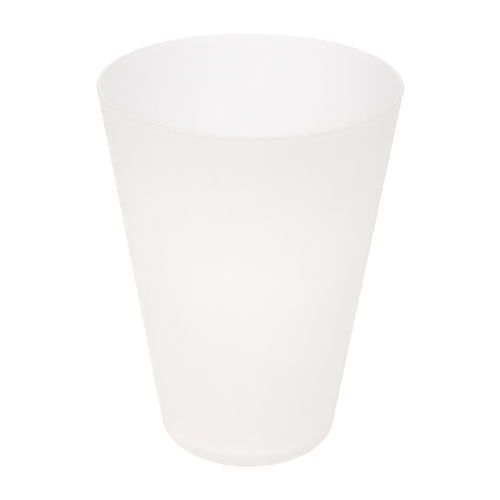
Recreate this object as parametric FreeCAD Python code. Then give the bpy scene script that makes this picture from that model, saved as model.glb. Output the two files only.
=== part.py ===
import FreeCAD, Part
import math
import os

# A reusable drinking cup, injection moulded in one piece from polypropylene.
#
# The wall is a plain cone, open at the top, where it ends in a thin crowned lip. At the bottom it
# runs on past the floor and makes the foot, a narrow ring with a rounded heel, so the floor
# itself stays clear of the table. The mould is filled through the middle of the underside, which
# leaves a shallow well there with the cut-off stub of the sprue in it.
#
# Millimetres, +Z up. The origin is the middle of the ring that the cup stands on.

# Outside of the cup
RIM_DIAMETER = 85.0       # outside of the wall, carried up to the top of the lip
FOOT_DIAMETER = 55.0      # outside of the wall, carried down to the table
HEIGHT = 113.5            # table to the top of the lip

# Wall and lip
WALL = 1.3                # square to the surface
LIP_CROWN = 0.35          # how far the middle of the lip stands above its two edges

# Foot ring
HEEL_ROUND = 1.0          # outer edge of the foot
FOOT_LAND = 0.6           # width of the flat that touches the table
FOOT_BEVEL = 0.25         # inner edge of the foot
FOOT_DRAFT = 3.0          # lean of the ring's inner side, in degrees, so that it leaves the mould

# Floor
FLOOR = 1.5               # thickness
FLOOR_RISE = 3.8          # from the table to the underside of the floor
FLOOR_COVE = 2.0          # inside round between the floor and the wall

# Mark of the moulding gate, in the middle of the underside
WELL_DIAMETER = 8.0
WELL_DEPTH = 0.35
STUB_DIAMETER = 1.8
STUB_HEIGHT = 0.25

# Worked out from the sizes above
LEAN = math.atan2((RIM_DIAMETER - FOOT_DIAMETER) / 2.0, HEIGHT)
WALL_LEVEL = WALL / math.cos(LEAN)
LIP_EDGE = HEIGHT - LIP_CROWN

# A corner of the section is a point and the radius that rounds it off, which is this where it
# stays sharp
SHARP = 0.0


def at(radius, height):
    """A point of the section, which is drawn in the XZ plane."""
    return FreeCAD.Vector(radius, 0.0, height)


def wall_outside(height):
    """The point of the wall's outside at a height above the table."""
    return at(FOOT_DIAMETER / 2.0 + height * math.tan(LEAN), height)


def wall_inside(height):
    """The point of the wall's inside at a height above the table."""
    return wall_outside(height) - at(WALL_LEVEL, 0.0)


def foot_corners():
    """Corners of the foot ring, from the heel in to the underside of the floor."""
    land_outside = wall_outside(HEEL_ROUND).x - HEEL_ROUND / math.cos(LEAN)
    land_inside = land_outside - FOOT_LAND
    recess_mouth = land_inside - FOOT_BEVEL
    recess_top = recess_mouth - (FLOOR_RISE - FOOT_BEVEL) * math.tan(math.radians(FOOT_DRAFT))
    return [
        (wall_outside(0.0), HEEL_ROUND),
        (at(land_inside, 0.0), SHARP),
        (at(recess_mouth, FOOT_BEVEL), SHARP),
        (at(recess_top, FLOOR_RISE), SHARP),
    ]


def gate_corners():
    """Corners of the gate's well and stub, from the underside of the floor in to the axis."""
    well_radius = WELL_DIAMETER / 2.0
    well_top = FLOOR_RISE + WELL_DEPTH
    stub_radius = STUB_DIAMETER / 2.0
    stub_end = well_top - STUB_HEIGHT
    return [
        (at(well_radius, FLOOR_RISE), SHARP),
        (at(well_radius, well_top), SHARP),
        (at(stub_radius, well_top), SHARP),
        (at(stub_radius, stub_end), SHARP),
        (at(0.0, stub_end), SHARP),
    ]


def inside_corners():
    """Corners of the top of the floor, from the axis out to the wall."""
    floor_top = FLOOR_RISE + FLOOR
    return [
        (at(0.0, floor_top), SHARP),
        (wall_inside(floor_top), FLOOR_COVE),
    ]


def bend_points(before, corner, after, radius):
    """Start, middle and end of the arc that rounds a corner, or the bare corner if it is sharp."""
    if radius == SHARP:
        return [corner]
    back = (before - corner).normalize()
    ahead = (after - corner).normalize()
    inward = (back + ahead).normalize()
    half_angle = back.getAngle(ahead) / 2.0
    run_cut = radius / math.tan(half_angle)
    arc_depth = radius / math.sin(half_angle) - radius
    return [corner + back * run_cut, corner + inward * arc_depth, corner + ahead * run_cut]


def edges_through(start, corners, end):
    """Edges from start, through the corners, to end."""
    points = [start] + [point for point, radius in corners] + [end]
    edges = []
    reached = start
    for index, (corner, radius) in enumerate(corners, 1):
        bend = bend_points(points[index - 1], corner, points[index + 1], radius)
        edges.append(Part.LineSegment(reached, bend[0]).toShape())
        if radius != SHARP:
            edges.append(Part.Arc(*bend).toShape())
        reached = bend[-1]
    edges.append(Part.LineSegment(reached, end).toShape())
    return edges


def make_cup():
    """The whole cup: its section, turned once round the axis."""
    lip_outside = wall_outside(LIP_EDGE)
    lip_inside = wall_inside(LIP_EDGE)
    lip_top = (lip_outside + lip_inside) * 0.5 + at(0.0, LIP_CROWN)
    corners = foot_corners() + gate_corners() + inside_corners()
    edges = edges_through(lip_outside, corners, lip_inside)
    edges.append(Part.Arc(lip_inside, lip_top, lip_outside).toShape())
    section = Part.Face(Part.Wire(edges))
    return section.revolve(at(0.0, 0.0), at(0.0, 1.0), 360.0)


os.makedirs("parts", exist_ok=True)
cup = make_cup()
cup.exportStep("parts/cup.step")
print("cup valid:", cup.isValid(), "volume in cubic cm:", round(cup.Volume / 1000.0, 2))
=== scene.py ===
# %% [markdown]
# # A reusable drinking cup in frosted polypropylene
#
# The real object is one injection moulding: a plain conical wall with a thin lip, a narrow foot
# ring under it and a floor carried inside the ring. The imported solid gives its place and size.
# Here the same form is modelled again with finer rounds, and it gets the milky, satin finish that
# natural polypropylene has when it leaves an eroded mould.

# %% Load the fixed frame and measure it
import bmesh
import bpy
import math
from mathutils import Matrix, Vector


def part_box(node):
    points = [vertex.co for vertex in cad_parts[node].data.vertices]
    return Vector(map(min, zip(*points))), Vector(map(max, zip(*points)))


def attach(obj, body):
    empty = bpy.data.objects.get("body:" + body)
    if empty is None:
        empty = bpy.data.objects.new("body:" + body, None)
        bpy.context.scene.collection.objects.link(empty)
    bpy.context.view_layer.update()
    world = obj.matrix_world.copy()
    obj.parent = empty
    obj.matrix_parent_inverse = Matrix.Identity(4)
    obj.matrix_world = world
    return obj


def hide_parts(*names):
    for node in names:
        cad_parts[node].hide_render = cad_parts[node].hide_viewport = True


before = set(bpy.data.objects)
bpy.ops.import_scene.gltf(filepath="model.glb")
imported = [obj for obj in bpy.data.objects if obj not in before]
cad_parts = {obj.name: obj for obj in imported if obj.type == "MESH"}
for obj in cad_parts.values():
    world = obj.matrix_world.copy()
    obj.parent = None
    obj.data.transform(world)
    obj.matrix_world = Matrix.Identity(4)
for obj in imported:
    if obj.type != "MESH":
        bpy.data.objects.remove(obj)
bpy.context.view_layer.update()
cup_low, cup_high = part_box("cup")
bpy.ops.object.select_all(action="DESELECT")
print("solid from", [round(v, 5) for v in cup_low], "to", [round(v, 5) for v in cup_high])

# %% [markdown]
# ## Sizes
#
# A mould maker thinks of such a cup as a cone with a few depths and rounds. The height comes from
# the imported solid, and the other sizes are written once here, in metres. The land is the narrow
# flat ring that the cup stands on. A wall that leans is thicker when it is measured level than
# square to its surface, so the level width is worked out.

# %% Sizes of the cup
MM = 0.001
HEIGHT = cup_high[2] - cup_low[2]
RIM_RADIUS = 42.5 * MM
FOOT_RADIUS = 27.5 * MM
WALL = 1.3 * MM
LIP_ROUND = 0.5 * MM
HEEL_ROUND = 1.0 * MM
LAND_INSIDE = 26.02 * MM
FOOT_BEVEL = 0.25 * MM
RECESS_RADIUS = 25.59 * MM
FLOOR_RISE = 3.8 * MM
FLOOR_TOP = 5.3 * MM
FLOOR_COVE = 2.0 * MM
RECESS_COVE = 0.35 * MM
WELL_RADIUS = 4.0 * MM
WELL_DEPTH = 0.35 * MM
WELL_ROUND = 0.1 * MM
STUB_RADIUS = 0.9 * MM
STUB_HEIGHT = 0.25 * MM
SIDES = 192

SLOPE = (RIM_RADIUS - FOOT_RADIUS) / HEIGHT
LEAN = math.atan(SLOPE)
WALL_LEVEL = WALL / math.cos(LEAN)
FLOOR_RADIUS = FOOT_RADIUS + SLOPE * FLOOR_TOP - WALL_LEVEL
print("wall leans", round(math.degrees(LEAN), 2), "degrees")
print("inside floor is", round(FLOOR_RADIUS / MM, 2), "mm in radius")

# %% [markdown]
# ## Picking rings and faces by their place
#
# Edit mode operators act on what is selected, and by hand one would click on a ring of edges. In
# a script the ring is found by its radius and height, which stays right when a size changes.

# %% Helpers for selecting
NEAR = 0.02 * MM
NEARLY_LEVEL = 0.99


def select_ring(cup, radius, height):
    """Select only the ring of edges at a radius and height, and print how many there are."""
    bpy.ops.mesh.select_mode(type="EDGE")
    bpy.ops.mesh.select_all(action="DESELECT")
    shape = bmesh.from_edit_mesh(cup.data)
    found = 0
    for edge in shape.edges:
        ends = [vert.co for vert in edge.verts]
        level = all(abs(end.z - height) < NEAR for end in ends)
        if level and all(abs(math.hypot(end.x, end.y) - radius) < NEAR for end in ends):
            edge.select_set(True)
            found += 1
    bmesh.update_edit_mesh(cup.data)
    print("ring at", round(radius / MM, 2), round(height / MM, 2), "mm:", found, "edges")


def select_cap(cup, height, up):
    """Select only the level face at a height that looks up (1) or down (-1)."""
    bpy.ops.mesh.select_mode(type="FACE")
    bpy.ops.mesh.select_all(action="DESELECT")
    shape = bmesh.from_edit_mesh(cup.data)
    shape.normal_update()
    for face in shape.faces:
        level = abs(face.calc_center_median().z - height) < NEAR
        if level and face.normal.z * up > NEARLY_LEVEL and len(face.verts) == SIDES:
            face.select_set(True)
    bmesh.update_edit_mesh(cup.data)


# %% [markdown]
# ## The blank
#
# The outside is a truncated cone. It could be spun from a drawn section, but starting from a cone
# keeps every ring a clean circle of the same number of sides, and the hollow can then be pushed
# into it from above as a moulder's core is.

# %% Add the cone
bpy.ops.mesh.primitive_cone_add(
    vertices=SIDES,
    radius1=FOOT_RADIUS,
    radius2=RIM_RADIUS,
    depth=HEIGHT,
    end_fill_type="NGON",
    location=(0.0, 0.0, HEIGHT / 2.0),
)
cup = bpy.context.active_object
cup.name = "cup_moulding"
bpy.ops.object.transform_apply(location=True, rotation=True, scale=True)
print("blank:", len(cup.data.vertices), "points")

# %% [markdown]
# ## Hollowing the inside
#
# The top face is inset by the wall's level width, pushed down to the floor and drawn in to the
# floor's radius. Because the wall inside has the same lean as outside, its thickness is constant.

# %% Push the core in from above


def sink_cap(radius_from, radius_to, height_from, height_to):
    """Extrude the selected cap to another height and size it to another radius."""
    bpy.ops.mesh.extrude_region_move(
        TRANSFORM_OT_translate={"value": (0.0, 0.0, height_to - height_from)},
    )
    ratio = radius_to / radius_from
    bpy.ops.transform.resize(value=(ratio, ratio, 1.0), center_override=(0.0, 0.0, height_to))


def inset_cap(radius_from, radius_to):
    """Inset the selected cap from one radius to a smaller one."""
    bpy.ops.mesh.inset(thickness=0.0, use_even_offset=False)
    ratio = radius_to / radius_from
    bpy.ops.transform.resize(value=(ratio, ratio, 1.0), center_override=(0.0, 0.0, 0.0))


bpy.ops.object.mode_set(mode="EDIT")
select_cap(cup, HEIGHT, 1)
inset_cap(RIM_RADIUS, RIM_RADIUS - WALL_LEVEL)
sink_cap(RIM_RADIUS - WALL_LEVEL, FLOOR_RADIUS, HEIGHT, FLOOR_TOP)
print("hollow is", round((HEIGHT - FLOOR_TOP) / MM, 2), "mm deep")

# %% [markdown]
# ## The foot ring and the gate's mark
#
# The same two moves are made from below. The recess leaves a narrow ring for the cup to stand on,
# and its side leans a little so that the cup comes off the mould. In the middle is the shallow
# well of the moulding gate, with the trimmed stub standing in it just short of the floor.

# %% Push the recess and the well in from below
select_cap(cup, 0.0, -1)
inset_cap(FOOT_RADIUS, LAND_INSIDE)
sink_cap(LAND_INSIDE, LAND_INSIDE - FOOT_BEVEL, 0.0, FOOT_BEVEL)
sink_cap(LAND_INSIDE - FOOT_BEVEL, RECESS_RADIUS, FOOT_BEVEL, FLOOR_RISE)
inset_cap(RECESS_RADIUS, WELL_RADIUS)
WELL_TOP = FLOOR_RISE + WELL_DEPTH
sink_cap(WELL_RADIUS, WELL_RADIUS, FLOOR_RISE, WELL_TOP)
inset_cap(WELL_RADIUS, STUB_RADIUS)
sink_cap(STUB_RADIUS, STUB_RADIUS, WELL_TOP, WELL_TOP - STUB_HEIGHT)
bpy.ops.mesh.poke()
print("floor is", round((FLOOR_TOP - FLOOR_RISE) / MM, 2), "mm thick")

# %% [markdown]
# ## Rounds
#
# No edge that a mould leaves is sharp. Each ring is bevelled with the offset that makes the arc
# of the wanted radius: the offset is measured along the faces, so it depends on their angle. The
# wall's lean makes that angle a little less or a little more than square.

# %% Round the rings


def arc_offset(arc_radius, angle):
    """How far from a ring its arc starts, given the angle between its two faces in degrees."""
    return arc_radius / math.tan(math.radians(angle) / 2.0)


def round_ring(cup, radius, height, arc_radius, angle, steps):
    """Bevel one ring to an arc, given the angle between its two faces in degrees."""
    select_ring(cup, radius, height)
    bpy.ops.mesh.bevel(
        offset=arc_offset(arc_radius, angle),
        offset_type="OFFSET",
        segments=steps,
        profile=0.5,
        affect="EDGES",
        clamp_overlap=False,
    )


SQUARE = 90.0
SHARP = SQUARE - math.degrees(LEAN)
BLUNT = SQUARE + math.degrees(LEAN)
ROUND_STEPS = 8
COVE_STEPS = 10
RECESS_STEPS = 4
WELL_STEPS = 3
round_ring(cup, RIM_RADIUS, HEIGHT, LIP_ROUND, SHARP, ROUND_STEPS)
round_ring(cup, RIM_RADIUS - WALL_LEVEL, HEIGHT, LIP_ROUND, BLUNT, ROUND_STEPS)
round_ring(cup, FLOOR_RADIUS, FLOOR_TOP, FLOOR_COVE, BLUNT, COVE_STEPS)
round_ring(cup, FOOT_RADIUS, 0.0, HEEL_ROUND, BLUNT, ROUND_STEPS)
round_ring(cup, RECESS_RADIUS, FLOOR_RISE, RECESS_COVE, SQUARE, RECESS_STEPS)
round_ring(cup, WELL_RADIUS, FLOOR_RISE, WELL_ROUND, SQUARE, WELL_STEPS)
round_ring(cup, WELL_RADIUS, WELL_TOP, WELL_ROUND, SQUARE, WELL_STEPS)

# %% [markdown]
# ## Closing the floor and evening the wall
#
# The floor is still one face with as many corners as the cup has sides. Two insets and a poke
# turn it into rings round a middle point. The wall is cut into level bands, because long thin
# faces shade unevenly and bake badly.

# %% Finish the floor's faces
FLOOR_FLAT = FLOOR_RADIUS - arc_offset(FLOOR_COVE, BLUNT)
OUTER_RING = 0.6 * FLOOR_FLAT
INNER_RING = 0.2 * FLOOR_FLAT
select_cap(cup, FLOOR_TOP, 1)
inset_cap(FLOOR_FLAT, OUTER_RING)
inset_cap(OUTER_RING, INNER_RING)
bpy.ops.mesh.poke()
print("floor is flat to", round(FLOOR_FLAT / MM, 2), "mm from the axis")

# %% Cut the wall into bands
BANDS = 12
MERGE_WITHIN = 0.001 * MM
SMOOTH_UNDER = math.radians(32.0)
for band in range(1, BANDS):
    bpy.ops.mesh.select_mode(type="FACE")
    bpy.ops.mesh.select_all(action="SELECT")
    bpy.ops.mesh.bisect(
        plane_co=(0.0, 0.0, HEIGHT * band / BANDS),
        plane_no=(0.0, 0.0, 1.0),
    )
bpy.ops.mesh.select_all(action="SELECT")
bpy.ops.mesh.remove_doubles(threshold=MERGE_WITHIN)
bpy.ops.mesh.normals_make_consistent(inside=False)
bpy.ops.object.mode_set(mode="OBJECT")
bpy.ops.object.shade_smooth_by_angle(angle=SMOOTH_UNDER)
print("moulding:", len(cup.data.vertices), "points,", len(cup.data.polygons), "faces")

# %% Check that the moulding is closed and the right way out
survey = bmesh.new()
survey.from_mesh(cup.data)
open_edges = sum(1 for edge in survey.edges if not edge.is_manifold)
CUBIC_CM = (10.0 * MM) ** 3
volume = survey.calc_volume(signed=True) / CUBIC_CM
print("open edges:", open_edges, "volume in cubic cm:", round(volume, 2))
survey.free()

# %% Put the moulding in the frame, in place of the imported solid
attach(cup, "root")
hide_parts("cup")
print(cup.name, "rides on root and stands for the cup")

# %% [markdown]
# ## Frosted polypropylene
#
# Natural polypropylene is cloudy because its crystals scatter light, and a wall of little over a
# millimetre lets most of that light through to the other side. It could be faked with a pale
# paint, but then the inside would go dark. Here light is let into the plastic and scattered
# there, so the cup glows evenly like the real one. What changes over the surface, which is the
# clouding, the satin frost, the polish of the edges, the painted warm light on the outside, the
# painted shade on the lip and the turned floor, comes from small groups that read the place on the
# cup.

# %% Helpers for building node groups
NOISE_MIDDLE = 0.5


def new_group(name, inputs, outputs):
    """A shader node group with named inputs (name, kind, value) and outputs (name, kind)."""
    group = bpy.data.node_groups.new(name, "ShaderNodeTree")
    for label, kind, value in inputs:
        socket = group.interface.new_socket(name=label, in_out="INPUT", socket_type=kind)
        if value is not None:
            socket.default_value = value
    for label, kind in outputs:
        group.interface.new_socket(name=label, in_out="OUTPUT", socket_type=kind)
    return group, group.nodes.new("NodeGroupInput"), group.nodes.new("NodeGroupOutput")


def add_math(group, operation, first, second=None, third=None):
    """A Math node whose inputs are sockets or plain numbers. Returns its output."""
    node = group.nodes.new("ShaderNodeMath")
    node.operation = operation
    for slot, value in enumerate((first, second, third)):
        if isinstance(value, (int, float)):
            node.inputs[slot].default_value = value
        elif value is not None:
            group.links.new(value, node.inputs[slot])
    return node.outputs[0]


def add_noise(group, place, scale, detail):
    """A noise of a given scale at a place. Returns its factor, which varies about NOISE_MIDDLE."""
    node = group.nodes.new("ShaderNodeTexNoise")
    node.inputs["Detail"].default_value = detail
    group.links.new(place, node.inputs["Vector"])
    if isinstance(scale, (int, float)):
        node.inputs["Scale"].default_value = scale
    else:
        group.links.new(scale, node.inputs["Scale"])
    return node.outputs["Fac"]


def add_step(group, value, low, high):
    """A smooth step from 0 at low to 1 at high, where low may be the larger. Returns its output."""
    node = group.nodes.new("ShaderNodeMapRange")
    node.interpolation_type = "SMOOTHSTEP"
    for label, number in (("Value", value), ("From Min", low), ("From Max", high)):
        if isinstance(number, (int, float)):
            node.inputs[label].default_value = number
        else:
            group.links.new(number, node.inputs[label])
    return node.outputs["Result"]


def add_axes(group, place):
    """Separate a place into its X, Y and Z. Returns the node."""
    node = group.nodes.new("ShaderNodeSeparateXYZ")
    group.links.new(place, node.inputs[0])
    return node


def add_radius(group, axes):
    """The distance of a place from the cup's axis. Returns its output."""
    across = add_math(group, "MULTIPLY", axes.outputs["X"], axes.outputs["X"])
    squared = add_math(group, "MULTIPLY_ADD", axes.outputs["Y"], axes.outputs["Y"], across)
    return add_math(group, "SQRT", squared)


def add_tint(group, amount, colour, tint):
    """Multiply a colour by a tint, by an amount from 0 to 1. Returns its output."""
    node = group.nodes.new("ShaderNodeMix")
    node.data_type = "RGBA"
    node.blend_type = "MULTIPLY"
    group.links.new(amount, node.inputs["Factor"])
    group.links.new(colour, node.inputs["A"])
    group.links.new(tint, node.inputs["B"])
    return node.outputs["Result"]


# %% [markdown]
# ### Clouding
#
# The melt enters in the middle of the floor and runs up the wall, so its faint streaks stand
# upright and spread from the axis. The direction round the axis, without the distance, gives
# streaks with no seam. Broad soft clouds are laid over them.

# %% Group: resin_clouding
clouding, given, result = new_group(
    "resin_clouding",
    [
        ("Place", "NodeSocketVector", None),
        ("Clear", "NodeSocketColor", (0.9, 0.9, 0.9, 1.0)),
        ("Cloudy", "NodeSocketColor", (0.8, 0.8, 0.8, 1.0)),
        ("Streaks", "NodeSocketFloat", 6.0),
        ("Cloud Scale", "NodeSocketFloat", 40.0),
    ],
    [("Colour", "NodeSocketColor")],
)
axes = add_axes(clouding, given.outputs["Place"])
flat = clouding.nodes.new("ShaderNodeCombineXYZ")
clouding.links.new(axes.outputs["X"], flat.inputs["X"])
clouding.links.new(axes.outputs["Y"], flat.inputs["Y"])
outward = clouding.nodes.new("ShaderNodeVectorMath")
outward.operation = "NORMALIZE"
clouding.links.new(flat.outputs[0], outward.inputs[0])
around = add_axes(clouding, outward.outputs[0])
streak_place = clouding.nodes.new("ShaderNodeCombineXYZ")
clouding.links.new(around.outputs["X"], streak_place.inputs["X"])
clouding.links.new(around.outputs["Y"], streak_place.inputs["Y"])
clouding.links.new(axes.outputs["Z"], streak_place.inputs["Z"])
streaks = add_noise(clouding, streak_place.outputs[0], given.outputs["Streaks"], detail=2.0)
clouds = add_noise(clouding, given.outputs["Place"], given.outputs["Cloud Scale"], detail=2.0)
SHARE_OF_EACH = 0.5
CLEAR_BELOW = 0.3
CLOUDY_ABOVE = 0.7
half_clouds = add_math(clouding, "MULTIPLY", clouds, SHARE_OF_EACH)
both = add_math(clouding, "MULTIPLY_ADD", streaks, SHARE_OF_EACH, half_clouds)
blend = clouding.nodes.new("ShaderNodeMix")
blend.data_type = "RGBA"
clouding.links.new(add_step(clouding, both, CLEAR_BELOW, CLOUDY_ABOVE), blend.inputs["Factor"])
clouding.links.new(given.outputs["Clear"], blend.inputs["A"])
clouding.links.new(given.outputs["Cloudy"], blend.inputs["B"])
clouding.links.new(blend.outputs["Result"], result.inputs["Colour"])
print(clouding.name, "has", len(clouding.nodes), "nodes")

# %% [markdown]
# ### Satin frost
#
# Spark erosion leaves tiny craters in the mould, and the plastic copies them. One fine noise is
# the grain. A slower one varies how satin the surface is, since the frost is never quite even.

# %% Group: satin_frost
frost, given, result = new_group(
    "satin_frost",
    [
        ("Place", "NodeSocketVector", None),
        ("Grain Scale", "NodeSocketFloat", 3000.0),
        ("Grain Depth", "NodeSocketFloat", 2e-6),
        ("Satin", "NodeSocketFloat", 0.5),
        ("Unevenness", "NodeSocketFloat", 0.1),
    ],
    [("Height", "NodeSocketFloat"), ("Roughness", "NodeSocketFloat")],
)
grain = add_noise(frost, given.outputs["Place"], given.outputs["Grain Scale"], detail=1.0)
craters = add_math(frost, "MULTIPLY", grain, given.outputs["Grain Depth"])
frost.links.new(craters, result.inputs["Height"])
PATCH_SCALE = 160.0
patches = add_noise(frost, given.outputs["Place"], PATCH_SCALE, detail=3.0)
patches = add_math(frost, "SUBTRACT", patches, NOISE_MIDDLE)
unevenness = given.outputs["Unevenness"]
satin = add_math(frost, "MULTIPLY_ADD", patches, unevenness, given.outputs["Satin"])
frost.links.new(satin, result.inputs["Roughness"])
print(frost.name, "has", len(frost.nodes), "nodes")

# %% [markdown]
# ### Polished edges
#
# The lip and the foot ring are where the two halves of the mould are ground and where the cup is
# wiped, stacked and slid about, so they are a little smoother than the frosted wall.

# %% Group: polished_edges
polish, given, result = new_group(
    "polished_edges",
    [
        ("Place", "NodeSocketVector", None),
        ("Lip Height", "NodeSocketFloat", 0.1),
        ("Reach", "NodeSocketFloat", 0.001),
    ],
    [("Mask", "NodeSocketFloat")],
)
axes = add_axes(polish, given.outputs["Place"])
RAGGED_SCALE = 900.0
ragged = add_noise(polish, given.outputs["Place"], RAGGED_SCALE, detail=3.0)
ragged = add_math(polish, "SUBTRACT", ragged, NOISE_MIDDLE)
ragged = add_math(polish, "MULTIPLY", ragged, given.outputs["Reach"])
height = add_math(polish, "ADD", axes.outputs["Z"], ragged)
below_lip = add_math(polish, "SUBTRACT", given.outputs["Lip Height"], height)
at_lip = add_step(polish, below_lip, given.outputs["Reach"], 0.0)
at_foot = add_step(polish, height, given.outputs["Reach"], 0.0)
polish.links.new(add_math(polish, "MAXIMUM", at_lip, at_foot), result.inputs["Mask"])
print(polish.name, "has", len(polish.nodes), "nodes")

# %% [markdown]
# ### Painted warmth outside
#
# The outside of the cup is tinted a touch warmer and duller than the inside. This is painted
# light: the tint stands in for the warmer light that falls on the outside of the wall, and the
# inside keeps the plain colour. The two sides of the wall are told apart by how far a place lies
# inside the straight outer cone.

# %% Group: painted_warm_outside
painted_warmth_group, given, result = new_group(
    "painted_warm_outside",
    [
        ("Place", "NodeSocketVector", None),
        ("Colour", "NodeSocketColor", (0.9, 0.9, 0.9, 1.0)),
        ("Tint", "NodeSocketColor", (1.0, 0.98, 0.96, 1.0)),
        ("Foot Radius", "NodeSocketFloat", 0.03),
        ("Slope", "NodeSocketFloat", 0.1),
        ("Wall", "NodeSocketFloat", 0.001),
    ],
    [("Colour", "NodeSocketColor")],
)
axes = add_axes(painted_warmth_group, given.outputs["Place"])
foot_radius = given.outputs["Foot Radius"]
cone_radius = add_math(painted_warmth_group, "MULTIPLY_ADD", axes.outputs["Z"], given.outputs["Slope"], foot_radius)
depth = add_math(painted_warmth_group, "SUBTRACT", cone_radius, add_radius(painted_warmth_group, axes))
outside = add_step(painted_warmth_group, depth, given.outputs["Wall"], 0.0)
# Painted light: the outside is multiplied by the warm tint.
painted_warmth = add_tint(painted_warmth_group, outside, given.outputs["Colour"], given.outputs["Tint"])
painted_warmth_group.links.new(painted_warmth, result.inputs["Colour"])
print(painted_warmth_group.name, "has", len(painted_warmth_group.nodes), "nodes")

# %% [markdown]
# ### Painted shade on the lip
#
# The crown of the lip is painted a shade darker than the wall. This is painted shade: it stands in
# for the dark line that the thin lip shows in this light. The shade is full on the crown and fades
# with the height below the lip, down the wall's inside and outside alike.

# %% Group: painted_lip_shade
lip_shading, given, result = new_group(
    "painted_lip_shade",
    [
        ("Place", "NodeSocketVector", None),
        ("Colour", "NodeSocketColor", (0.9, 0.9, 0.9, 1.0)),
        ("Shade", "NodeSocketColor", (0.95, 0.95, 0.95, 1.0)),
        ("Lip Height", "NodeSocketFloat", 0.1),
        ("Reach", "NodeSocketFloat", 0.001),
    ],
    [("Colour", "NodeSocketColor")],
)
axes = add_axes(lip_shading, given.outputs["Place"])
below_lip = add_math(lip_shading, "SUBTRACT", given.outputs["Lip Height"], axes.outputs["Z"])
# Painted shade: the crown and the top of the wall are darkened towards the lip.
lip_shade_amount = add_step(lip_shading, below_lip, given.outputs["Reach"], 0.0)
shaded = add_tint(lip_shading, lip_shade_amount, given.outputs["Colour"], given.outputs["Shade"])
lip_shading.links.new(shaded, result.inputs["Colour"])
print(lip_shading.name, "has", len(lip_shading.nodes), "nodes")

# %% [markdown]
# ### Turned floor
#
# The two mould parts that meet at the floor are turned on a lathe, and their fine circles show on
# it, above and below. The height is a wave of the distance from the axis, kept to the floor's own
# width and level so that it doesn't run up the wall.

# %% Group: turning_rings
turning, given, result = new_group(
    "turning_rings",
    [
        ("Place", "NodeSocketVector", None),
        ("Pitch", "NodeSocketFloat", 0.001),
        ("Depth", "NodeSocketFloat", 1e-6),
        ("Radius", "NodeSocketFloat", 0.02),
        ("Level", "NodeSocketFloat", 0.006),
    ],
    [("Height", "NodeSocketFloat")],
)
axes = add_axes(turning, given.outputs["Place"])
distance = add_radius(turning, axes)
turns = add_math(turning, "DIVIDE", distance, given.outputs["Pitch"])
wave = add_math(turning, "SINE", add_math(turning, "MULTIPLY", turns, 2.0 * math.pi))
on_floor = add_math(turning, "LESS_THAN", distance, given.outputs["Radius"])
at_level = add_math(turning, "LESS_THAN", axes.outputs["Z"], given.outputs["Level"])
kept = add_math(turning, "MULTIPLY", on_floor, at_level)
rings = add_math(turning, "MULTIPLY", wave, given.outputs["Depth"])
turning.links.new(add_math(turning, "MULTIPLY", rings, kept), result.inputs["Height"])
print(turning.name, "has", len(turning.nodes), "nodes")

# %% [markdown]
# ### The plastic itself
#
# The shader stays in the material, and the groups only feed its colour, roughness and height.
# Heights are in metres, so the Bump node's distance is 1. The frost turns a fifth of the light back
# at the surface, and the rest goes in. The scattering distance is many times the wall's thickness,
# so much of that light goes straight on through the wall before it turns. It keeps the inside as
# bright as the outside, and leaves no bright line on the thin lip.

# %% Material: milky_polypropylene
plastic = bpy.data.materials.new("milky_polypropylene")
plastic.use_nodes = True
nodes = plastic.node_tree.nodes
links = plastic.node_tree.links
shader = nodes["Principled BSDF"]
LET_IN = 0.8
SCATTERED_OVER = 36.0 * MM
shader.inputs["IOR"].default_value = 1.49
shader.inputs["Subsurface Weight"].default_value = LET_IN
shader.inputs["Subsurface Radius"].default_value = (1.0, 1.0, 1.0)
shader.inputs["Subsurface Scale"].default_value = SCATTERED_OVER
on_cup = nodes.new("ShaderNodeTexCoord")
print("light is scattered over", round(SCATTERED_OVER / MM, 2), "mm")

# %% Place the groups in the plastic


def place_group(group, **values):
    """Put a group in the plastic's material, fed with the place on the cup and its own values."""
    node = nodes.new("ShaderNodeGroup")
    node.node_tree = group
    links.new(on_cup.outputs["Object"], node.inputs["Place"])
    for label, value in values.items():
        node.inputs[label.replace("_", " ")].default_value = value
    return node


cloudy = place_group(
    clouding,
    Clear=(0.968, 0.966, 0.963, 1.0),
    Cloudy=(0.955, 0.951, 0.946, 1.0),
    Streaks=5.0,
    Cloud_Scale=38.0,
)
# The warm, duller tint on the outside is painted light.
painted_warm_wall = place_group(
    painted_warmth_group,
    Tint=(0.975, 0.930, 0.870, 1.0),
    Foot_Radius=FOOT_RADIUS,
    Slope=SLOPE,
    Wall=WALL,
)
# The darker crown of the lip is painted shade.
shaded_lip = place_group(
    lip_shading,
    Shade=(0.905, 0.905, 0.905, 1.0),
    Lip_Height=HEIGHT,
    Reach=1.0 * MM,
)
frosted = place_group(frost, Grain_Scale=2600.0, Grain_Depth=3e-6, Satin=0.56, Unevenness=0.16)
polished = place_group(polish, Lip_Height=HEIGHT, Reach=0.8 * MM)
turned = place_group(
    turning,
    Pitch=0.8 * MM,
    Depth=2e-6,
    Radius=0.9 * FLOOR_RADIUS,
    Level=FLOOR_TOP + NEAR,
)

# %% Join the groups to the shader and give the cup its plastic
tree = plastic.node_tree
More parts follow.
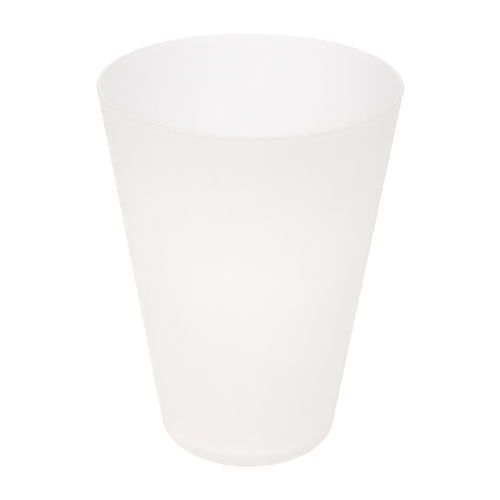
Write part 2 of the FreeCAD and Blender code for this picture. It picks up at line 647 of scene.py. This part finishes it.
# The base colour carries the painted warmth outside and the painted shade on the lip.
links.new(cloudy.outputs["Colour"], painted_warm_wall.inputs["Colour"])
links.new(painted_warm_wall.outputs["Colour"], shaded_lip.inputs["Colour"])
links.new(shaded_lip.outputs["Colour"], shader.inputs["Base Color"])
POLISH = 0.06
as_moulded = frosted.outputs["Roughness"]
smoother = add_math(tree, "MULTIPLY_ADD", polished.outputs["Mask"], -POLISH, as_moulded)
links.new(smoother, shader.inputs["Roughness"])
relief = add_math(tree, "ADD", frosted.outputs["Height"], turned.outputs["Height"])
bump = nodes.new("ShaderNodeBump")
bump.inputs["Distance"].default_value = 1.0
links.new(relief, bump.inputs["Height"])
links.new(bump.outputs["Normal"], shader.inputs["Normal"])
cup.data.materials.clear()
cup.data.materials.append(plastic)
print(plastic.name, "uses", [node.node_tree.name for node in nodes if node.type == "GROUP"])

# %% [markdown]
# ## The floor
#
# A pale cup on a plain pale floor is lost if the floor is only as bright as the cup. Such cups are
# shown on a light table: a white sheet that glows a little from below. The glow also reaches the
# heel, which no lamp above can light. At a low angle the wall mirrors the sheet, which would wash
# out the cup's edges. A polarising filter over a lens takes such glints away, and here a Light Path
# node does it: a ray that has just glinted off something doesn't see the glow. The sheet isn't
# sampled as a lamp either, because rays find anything as large as this by themselves.

# %% Add the light table
SHEET_GAP = 0.05 * MM
SHEET_SIZE = 6.0
bpy.ops.mesh.primitive_grid_add(
    x_subdivisions=8,
    y_subdivisions=8,
    size=SHEET_SIZE,
    location=(0.0, 0.0, cup_low[2] - SHEET_GAP),
)
floor = bpy.context.active_object
floor.name = "light_table"
print("floor is", SHEET_GAP / MM, "mm under the foot")

# %% Material: glowing_sheet
GLOW = 0.378
glowing_sheet = bpy.data.materials.new("glowing_sheet")
glowing_sheet.use_nodes = True
sheet_tree = glowing_sheet.node_tree
sheet_shader = sheet_tree.nodes["Principled BSDF"]
sheet_shader.inputs["Base Color"].default_value = (0.95, 0.95, 0.95, 1.0)
sheet_shader.inputs["Roughness"].default_value = 0.9
sheet_shader.inputs["Emission Strength"].default_value = GLOW
ray = sheet_tree.nodes.new("ShaderNodeLightPath")
unglinted = add_math(sheet_tree, "SUBTRACT", 1.0, ray.outputs["Is Glossy Ray"])
sheet_tree.links.new(unglinted, sheet_shader.inputs["Emission Color"])
glowing_sheet.cycles.emission_sampling = "NONE"
floor.data.materials.append(glowing_sheet)
print(glowing_sheet.name, "glows at", GLOW)

# %% [markdown]
# ## The light
#
# Hard light would draw a bright line on the lip and a dark side on the cone. So each lamp is a
# panel far larger than the cup, and the air all round gives a little light too. The panel overhead
# fills the inside, and those in front and behind keep the outer wall as bright as the inner one.
# The left has one more panel than the right, which gives the cone its slight roundness. The panel
# behind is a trace cooler, as a window is beside a lamp. It would glint on the crown of the lip, so
# it is filtered as well, by its own switch for glossy rays.

# %% Add the soft panels


def add_panel(name, place, aim, side, power, colour):
    """A soft square panel light at a place, turned towards an aim. Returns it."""
    light = bpy.data.lights.new(name, "AREA")
    light.shape = "SQUARE"
    light.size = side
    light.energy = power
    light.color = colour
    panel = bpy.data.objects.new(name, light)
    bpy.context.collection.objects.link(panel)
    panel.location = place
    panel.rotation_euler = (aim - place).to_track_quat("-Z", "Y").to_euler()
    print(name, "at", [round(v, 2) for v in place], "gives", power, "W")
    return panel


middle = Vector((0.0, 0.0, HEIGHT / 2.0))


def place_round(azimuth, elevation, distance):
    """A place round the cup: azimuth from the front towards the right, in degrees."""
    across = math.radians(azimuth)
    above = math.radians(elevation)
    level = math.cos(above)
    away = Vector((math.sin(across) * level, -math.cos(across) * level, math.sin(above)))
    return middle + distance * away


LAMP = (1.0, 0.946, 0.935)
WINDOW = (0.945, 0.98, 1.0)
PANEL = 1.6
HIGH_UP = 1.8
ALL_ROUND = 1.86
add_panel("overhead_panel", place_round(0, 90, HIGH_UP), middle, PANEL, 21.3, LAMP)
add_panel("front_panel", place_round(0, 24, ALL_ROUND), middle, PANEL, 6.3, LAMP)
add_panel("left_panel", place_round(-45, 24, ALL_ROUND), middle, PANEL, 4.2, LAMP)
behind = add_panel("back_panel", place_round(180, 60, HIGH_UP), middle, PANEL, 14.5, WINDOW)
behind.visible_glossy = False

# %% Light the air all round
AIR_LIGHT = 0.234
world = bpy.data.worlds.new("studio")
bpy.context.scene.world = world
world.use_nodes = True
air = world.node_tree.nodes["Background"]
air.inputs["Color"].default_value = (1.0, 1.0, 1.0, 1.0)
air.inputs["Strength"].default_value = AIR_LIGHT
bpy.context.scene.view_settings.view_transform = "Standard"
print(world.name, "air gives", AIR_LIGHT)

# %% [markdown]
# ## The camera
#
# It looks down at 28 degrees from a little over four cup widths away, so the mouth shows as an
# open ellipse and the wall narrows in perspective. All its places are in rim radii, and a roll of
# half a degree stands for a tripod that isn't quite level.

# %% Add the camera
ELEVATION = math.radians(28.02)
DISTANCE = 8.407 * RIM_RADIUS
ROLL = math.radians(0.473)
AIM_RIGHT = 0.0068 * RIM_RADIUS
AIM_UP = 1.4079 * RIM_RADIUS
target = Vector((AIM_RIGHT, 0.0, AIM_UP))
camera_data = bpy.data.cameras.new("camera")
camera_data.sensor_width = 36.0
camera_data.lens = 86.4
camera_data.clip_start = 0.01
camera = bpy.data.objects.new("camera", camera_data)
bpy.context.collection.objects.link(camera)
camera.location = target + DISTANCE * Vector((0.0, -math.cos(ELEVATION), math.sin(ELEVATION)))
look = (target - camera.location).to_track_quat("-Z", "Y").to_matrix()
camera.rotation_euler = (look @ Matrix.Rotation(ROLL, 3, "Z")).to_euler()
bpy.context.scene.camera = camera
print("camera at", [round(v, 3) for v in camera.location])
